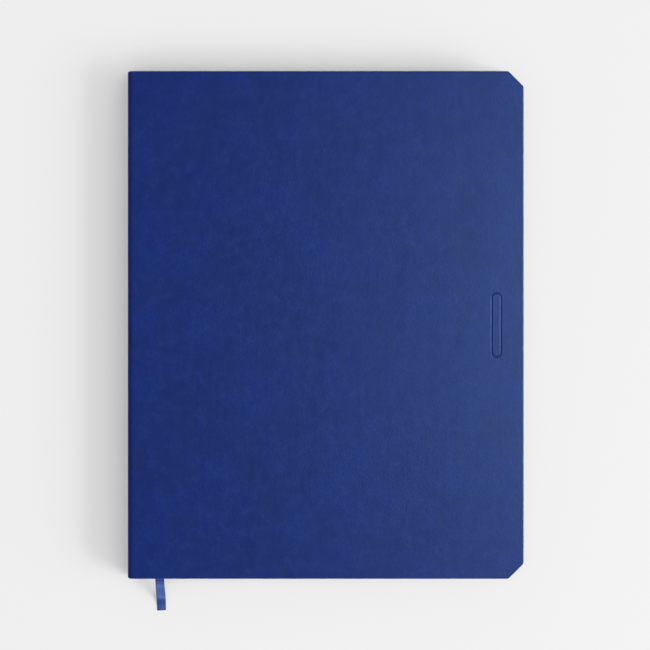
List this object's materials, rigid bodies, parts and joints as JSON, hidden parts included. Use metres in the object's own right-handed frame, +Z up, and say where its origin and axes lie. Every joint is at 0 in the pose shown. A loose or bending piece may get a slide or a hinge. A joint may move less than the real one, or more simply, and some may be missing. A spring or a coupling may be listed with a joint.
{
  "type": "pilot logbook",
  "caption": "Closed case-bound pilot logbook with a leather-look cover, a square spine, cut-off fore-edge corners and a ribbon marker.",
  "frame": {"origin": "centre of the book's plan, on the plane that its back cover lies on", "axes": "+X from the spine to the fore edge, +Y from tail to head, +Z up through the thickness"},
  "size_m": [0.195, 0.2669, 0.017],
  "materials": {
    "cover_sheet": "fine-grained, satin",
    "grey_board": "matt",
    "endpaper": "matt",
    "leaves": "matt, uncoated",
    "lining_cloth": "open weave",
    "thread": "twisted",
    "band": "woven",
    "ribbon": "satin"
  },
  "bodies": {
    "back_half": {"back_cover_skin": "cover_sheet", "back_board": "grey_board", "back_pastedown": "endpaper", "back_flyleaf": "endpaper", "section_07": "leaves", "section_08": "leaves", "section_09": "leaves", "section_10": "leaves", "section_11": "leaves", "section_12": "leaves", "ribbon_marker": "ribbon"},
    "spine": {"spine_skin": "cover_sheet", "spine_strip": "grey_board", "crash_lining": "lining_cloth", "sewing_1": "thread", "sewing_2": "thread", "sewing_3": "thread", "sewing_4": "thread", "sewing_5": "thread", "headband": "band", "tailband": "band"},
    "front_leaves": {"front_flyleaf": "endpaper", "section_01": "leaves", "section_02": "leaves", "section_03": "leaves", "section_04": "leaves", "section_05": "leaves", "section_06": "leaves"},
    "front_cover": {"front_cover_skin": "cover_sheet", "front_board": "grey_board", "front_pastedown": "endpaper"}
  },
  "joints": [
    {"name": "spine_lean", "type": "hinge", "parent": "back_half", "child": "spine", "pos_m": [-0.0976, 0, -0.0001], "axis": [0, -1, 0], "range_deg": [0, 90]},
    {"name": "leaves_turn", "type": "hinge", "parent": "spine", "child": "front_leaves", "pos_m": [-0.0976, 0, 0.0171], "axis": [0, -1, 0], "range_deg": [0, 90]},
    {"name": "cover_open", "type": "hinge", "parent": "front_leaves", "child": "front_cover", "pos_m": [-0.0943, 0, 0.0171], "axis": [0, -1, 0], "range_deg": [0, 178]}
  ],
  "couplings": [
    {"joint": "leaves_turn", "follows": "spine_lean", "ratio": 1}
  ]
}
